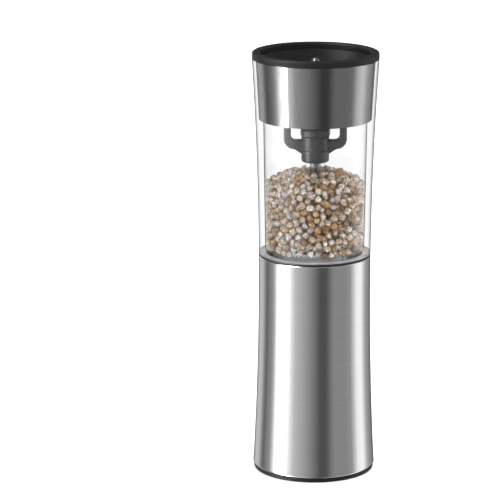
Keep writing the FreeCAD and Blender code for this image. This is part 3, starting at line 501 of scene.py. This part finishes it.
def makeCornTree(heap):
    tree = bpy.data.node_groups.new("cornsOnPoints", "GeometryNodeTree")
    wanted = [("Corns", "NodeSocketGeometry"), ("Ruffle Depth", "NodeSocketFloat"),
              ("Ruffle Size", "NodeSocketFloat"), ("Squash", "NodeSocketFloat"),
              ("Skin", "NodeSocketMaterial")]
    sockets = {name: tree.interface.new_socket(name=name, in_out="INPUT", socket_type=kind)
               for name, kind in wanted}
    tree.interface.new_socket(name="Corns", in_out="OUTPUT", socket_type="NodeSocketGeometry")
    given = addNode(tree, "NodeGroupInput").outputs
    end = addNode(tree, "NodeGroupOutput")
    ball = addNode(tree, "GeometryNodeMeshIcoSphere")
    ball.inputs["Radius"].default_value = 1.0
    ball.inputs["Subdivisions"].default_value = 2
    size = addNode(tree, "GeometryNodeInputNamedAttribute", data_type="FLOAT")
    size.inputs["Name"].default_value = "cornSize"
    turn = addNode(tree, "FunctionNodeRandomValue", data_type="FLOAT_VECTOR")
    turn.inputs["Max"].default_value = (heap["fullTurn"],) * 3
    turn.inputs["Seed"].default_value = heap["turnSeed"]
    squash = addNode(tree, "FunctionNodeRandomValue", data_type="FLOAT_VECTOR")
    squash.inputs["Max"].default_value = (heap["longest"],) * 3
    feed(tree, given["Squash"], squash.inputs["Min"])
    squash.inputs["Seed"].default_value = heap["squashSeed"]
    scale = addNode(tree, "ShaderNodeVectorMath", operation="SCALE")
    feed(tree, squash.outputs[0], scale.inputs[0])
    feed(tree, size.outputs[0], scale.inputs["Scale"])
    place = addNode(tree, "GeometryNodeInstanceOnPoints")
    feed(tree, given["Corns"], place.inputs["Points"])
    feed(tree, ball.outputs["Mesh"], place.inputs["Instance"])
    feed(tree, turn.outputs[0], place.inputs["Rotation"])
    feed(tree, scale.outputs[0], place.inputs["Scale"])
    shade = addNode(tree, "FunctionNodeRandomValue", data_type="FLOAT")
    shade.inputs["Seed"].default_value = heap["shadeSeed"]
    store = addNode(tree, "GeometryNodeStoreNamedAttribute", data_type="FLOAT", domain="INSTANCE")
    store.inputs["Name"].default_value = "cornShade"
    feed(tree, place.outputs[0], store.inputs["Geometry"])
    feed(tree, shade.outputs[1], store.inputs["Value"])
    real = addNode(tree, "GeometryNodeRealizeInstances")
    feed(tree, store.outputs[0], real.inputs[0])
    lumps = addNode(tree, "ShaderNodeTexNoise")
    feed(tree, given["Ruffle Size"], lumps.inputs["Scale"])
    lumps.inputs["Detail"].default_value = 1.0
    lift = maths(tree, "MULTIPLY",
                 maths(tree, "SUBTRACT", lumps.outputs["Fac"], heap["ruffleMiddle"]),
                 given["Ruffle Depth"])
    outward = addNode(tree, "ShaderNodeVectorMath", operation="SCALE")
    feed(tree, addNode(tree, "GeometryNodeInputNormal").outputs[0], outward.inputs[0])
    feed(tree, maths(tree, "MULTIPLY", lift, heap["ruffleSwing"]), outward.inputs["Scale"])
    ruffle = addNode(tree, "GeometryNodeSetPosition")
    feed(tree, real.outputs[0], ruffle.inputs["Geometry"])
    feed(tree, outward.outputs[0], ruffle.inputs["Offset"])
    smooth = addNode(tree, "GeometryNodeSetShadeSmooth")
    feed(tree, ruffle.outputs[0], smooth.inputs[0])
    skin = addNode(tree, "GeometryNodeSetMaterial")
    feed(tree, smooth.outputs[0], skin.inputs["Geometry"])
    feed(tree, given["Skin"], skin.inputs["Material"])
    feed(tree, skin.outputs[0], end.inputs[0])
    return tree, sockets


def makePeppercorns(heap):
    places, sizes = settleCorns(heap)
    points = bpy.data.meshes.new("cornPoints")
    points.from_pydata([Vector(place) for place in places], [], [])
    points.attributes.new("cornSize", "FLOAT", "POINT").data.foreach_set("value", sizes)
    holder = bpy.data.objects.new("cornPoints", points)
    scene.collection.objects.link(holder)
    tree, sockets = makeCornTree(heap)
    modifier = holder.modifiers.new("corns", "NODES")
    modifier.node_group = tree
    modifier[sockets["Ruffle Depth"].identifier] = heap["ruffleDepth"]
    modifier[sockets["Ruffle Size"].identifier] = heap["ruffleSize"]
    modifier[sockets["Squash"].identifier] = heap["squash"]
    modifier[sockets["Skin"].identifier] = finishes["cornSkin"]
    graph = bpy.context.evaluated_depsgraph_get()
    mesh = bpy.data.meshes.new_from_object(
        holder.evaluated_get(graph), preserve_all_data_layers=True, depsgraph=graph)
    bpy.data.objects.remove(holder)
    corns = bpy.data.objects.new("peppercorns", mesh)
    scene.collection.objects.link(corns)
    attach(corns, "chamber")
    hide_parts("pepper_fill")
    print("peppercorns:", len(sizes), "corns,", len(mesh.polygons), "faces")


makePeppercorns(cornHeap)


# studio: a pale floor, an even soft sky, and a wall of panels that only shiny things see

studio = dict(
    floorSize=14.0, floorDrop=0.00005, floorShade=0.97,
    skyLow=1.15, skyHigh=2.1, keySide=(0.45, -0.55, 0.70), backdrop=1.1,
    room=0.07, panelGain=1.6, zenith=0.55, fadeFrom=0.62, fadeTo=0.95)

# two bright cards on the left, seen past the wall: low in the chamber's shine, high in the cup
cards = [
    dict(azimuth=-72.5, halfWidth=13.0, soft=1.5, lowest=-60.0, highest=-16.05, fade=0.5,
         gain=11.0),
    dict(azimuth=-62.0, halfWidth=16.0, soft=6.0, lowest=18.0, highest=62.0, fade=6.0, gain=22.0)]

# upright panels round the set: the middle and half the width in degrees, to the right of the
# camera's side, how softly the edge fades, and how far it stands out of the dim room
wallPanels = dict(
    leftSoftbox=dict(azimuth=-68.0, halfWidth=20.0, soft=7.0, level=0.50),
    leftSpill=dict(azimuth=-55.0, halfWidth=40.0, soft=26.0, level=0.42),
    leftRear=dict(azimuth=-142.0, halfWidth=17.0, soft=9.0, level=0.38),
    rightCard=dict(azimuth=55.0, halfWidth=24.0, soft=8.0, level=0.16),
    rightSoftbox=dict(azimuth=101.0, halfWidth=16.0, soft=8.0, level=0.55),
    rightSpill=dict(azimuth=114.0, halfWidth=28.0, soft=20.0, level=0.30))


def panelGlow(tree, panel, turn):
    away = maths(tree, "ABSOLUTE", maths(tree, "SUBTRACT", turn, math.radians(panel["azimuth"])))
    return spreadValue(tree, away, panel["level"], 0.0,
                       math.radians(panel["halfWidth"] - panel["soft"]),
                       math.radians(panel["halfWidth"] + panel["soft"]))


def cardGlow(tree, card, turn, rise):
    away = maths(tree, "ABSOLUTE", maths(tree, "SUBTRACT", turn, math.radians(card["azimuth"])))
    across = spreadValue(tree, away, 1.0, 0.0, math.radians(card["halfWidth"] - card["soft"]),
                         math.radians(card["halfWidth"] + card["soft"]))
    middle = math.radians((card["lowest"] + card["highest"]) / 2)
    half = math.radians((card["highest"] - card["lowest"]) / 2)
    fromMiddle = maths(tree, "ABSOLUTE", maths(tree, "SUBTRACT", rise, middle))
    along = spreadValue(tree, fromMiddle, 1.0, 0.0, half, half + math.radians(card["fade"]))
    return maths(tree, "MULTIPLY", maths(tree, "MULTIPLY", across, along), card["gain"])


def mixStrength(tree, afterMatt, strength):
    # matt surfaces take the soft sky at its own strength
    keep = maths(tree, "SUBTRACT", 1.0, afterMatt)
    return maths(tree, "ADD", maths(tree, "MULTIPLY", strength, keep), afterMatt)


def makeSky():
    world = bpy.data.worlds.new("studio")
    world.use_nodes = True
    scene.world = world
    tree = world.node_tree
    tree.nodes.clear()
    where = addNode(tree, "ShaderNodeTexCoord").outputs["Generated"]
    parts = addNode(tree, "ShaderNodeSeparateXYZ")
    feed(tree, where, parts.inputs[0])
    right, away, upward = parts.outputs
    turn = maths(tree, "ARCTAN2", right, maths(tree, "MULTIPLY", away, -1.0))
    wall = studio["room"]
    for panel in wallPanels.values():
        wall = maths(tree, "ADD", panelGlow(tree, panel, turn), wall)
    fade = spreadValue(tree, upward, 0.0, 1.0, studio["fadeFrom"], studio["fadeTo"])
    wall = mixColours(tree, fade, wall, solid(grey(studio["zenith"])))
    key = addNode(tree, "ShaderNodeVectorMath", operation="DOT_PRODUCT")
    feed(tree, where, key.inputs[0])
    key.inputs[1].default_value = Vector(studio["keySide"]).normalized()
    soft = spreadValue(tree, key.outputs["Value"], studio["skyLow"], studio["skyHigh"], -1.0, 1.0)
    path = addNode(tree, "ShaderNodeLightPath").outputs
    afterGloss = maths(tree, "GREATER_THAN", path["Glossy Depth"], 0.5)
    afterMatt = maths(tree, "GREATER_THAN", path["Diffuse Depth"], 0.5)
    seen = mixColours(tree, afterGloss, solid(grey(studio["backdrop"])), wall)
    gain = studio["panelGain"]
    rise = maths(tree, "ARCSINE", upward)
    for card in cards:
        gain = maths(tree, "ADD", cardGlow(tree, card, turn, rise), gain)
    strength = maths(tree, "ADD", 1.0, maths(tree, "MULTIPLY", afterGloss,
                                             maths(tree, "SUBTRACT", gain, 1.0)))
    light = addNode(tree, "ShaderNodeCombineXYZ")
    for place in range(3):
        feed(tree, soft, light.inputs[place])
    colour = mixColours(tree, afterMatt, seen, light.outputs[0])
    strength = mixStrength(tree, afterMatt, strength)
    background = addNode(tree, "ShaderNodeBackground")
    feed(tree, colour, background.inputs["Color"])
    feed(tree, strength, background.inputs["Strength"])
    output = addNode(tree, "ShaderNodeOutputWorld")
    feed(tree, background.outputs[0], output.inputs["Surface"])


def makeFloor():
    half = studio["floorSize"] / 2
    drop = -studio["floorDrop"]
    mesh = bpy.data.meshes.new("floor")
    mesh.from_pydata([(-half, -half, drop), (half, -half, drop), (half, half, drop),
                      (-half, half, drop)], [], [(0, 1, 2, 3)])
    floor = bpy.data.objects.new("floor", mesh)
    scene.collection.objects.link(floor)
    material, tree, sockets = startFinish("floorPaper")
    sockets["Base Color"].default_value = solid(grey(studio["floorShade"]))
    sockets["Roughness"].default_value = 1.0
    sockets["Specular IOR Level"].default_value = 0.0
    mesh.materials.append(material)
    floor.visible_glossy = False
    floor.visible_transmission = False


makeSky()
makeFloor()
print("studio ready")


cameraPlace = dict(side=-0.03067, back=1.320, height=0.4248, pitch=13.509, lens=202.0)


def makeCamera(place):
    camera = bpy.data.objects.new("camera", bpy.data.cameras.new("camera"))
    camera.data.lens = place["lens"]
    camera.location = (place["side"], -place["back"], place["height"])
    camera.rotation_euler = (math.radians(90 - place["pitch"]), 0, 0)
    scene.collection.objects.link(camera)
    scene.camera = camera


makeCamera(cameraPlace)
